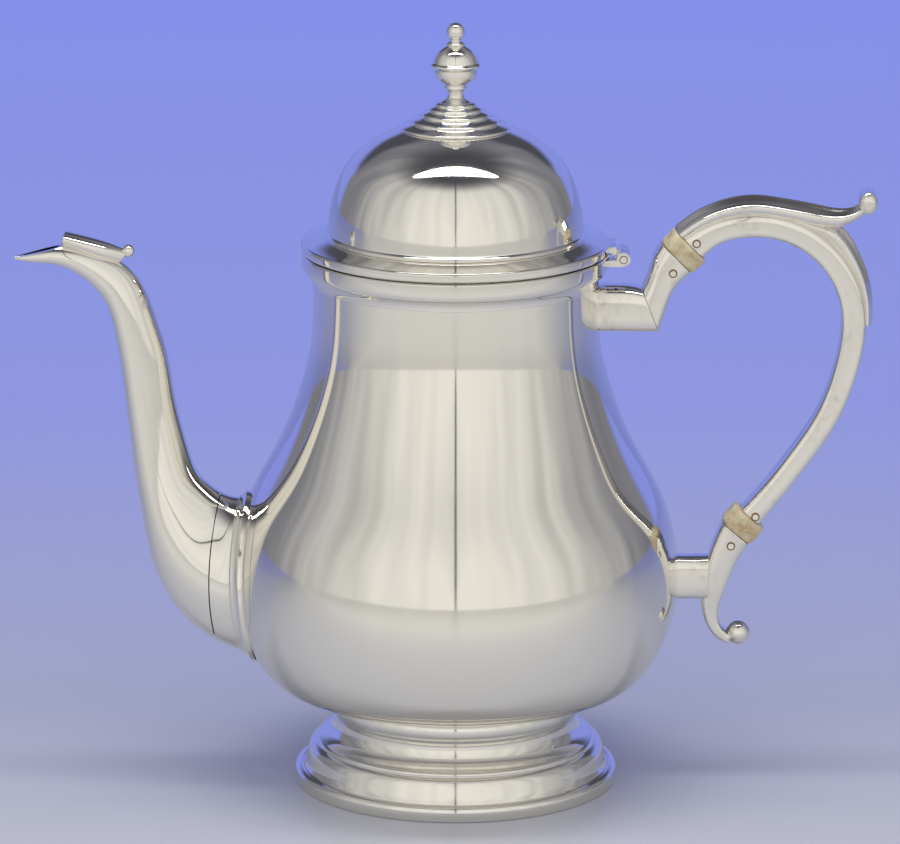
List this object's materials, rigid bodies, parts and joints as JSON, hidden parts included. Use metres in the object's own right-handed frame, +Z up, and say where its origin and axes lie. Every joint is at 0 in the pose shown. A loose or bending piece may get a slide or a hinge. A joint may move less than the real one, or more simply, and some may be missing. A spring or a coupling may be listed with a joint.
{
  "type": "coffee pot",
  "caption": "Polished silver coffee pot with a hinged domed lid, turned knop, swan-neck spout with a hooded lip, scroll handle with pale insulators and a round moulded foot.",
  "frame": {"origin": "centre of the foot's base plane, where the pot stands", "axes": "+Z up along the body's axis, -X towards the spout, +X towards the handle"},
  "size_m": [0.2368, 0.124, 0.2141],
  "materials": {
    "silver": "polished",
    "insulator": "satin"
  },
  "bodies": {
    "pot": {"pot_base": "silver", "pot_body": "silver", "pot_neck": "silver", "neck_rim": "silver", "foot_pedestal": "silver", "foot_base_ring": "silver", "spout_base_collar": "silver", "spout_near_half": "silver", "spout_far_half": "silver", "spout_hood": "silver", "spout_hood_bead": "silver", "hinge_body_leaf": "silver", "hinge_pin": "silver", "upper_socket": "silver", "upper_insulator": "insulator", "upper_grip_rivet": "silver", "upper_socket_rivet": "silver", "handle_grip": "silver", "thumb_leaf": "silver", "thumb_leaf_curl": "silver", "back_leaf": "silver", "lower_insulator": "insulator", "lower_grip_rivet": "silver", "lower_socket_rivet": "silver", "lower_socket": "silver", "lower_scroll_bud": "silver", "lower_stub": "silver"},
    "lid": {"lid_dome": "silver", "lid_flange": "silver", "lid_bezel": "silver", "finial_collet": "silver", "finial": "silver", "finial_stud": "silver", "finial_washer": "silver", "finial_nut": "silver", "hinge_lid_leaf": "silver"}
  },
  "joints": [
    {"name": "lid_hinge", "type": "hinge", "parent": "pot", "child": "lid", "pos_m": [0.046, 0, 0.1492], "axis": [0, 1, 0], "range_deg": [0, 85]}
  ]
}
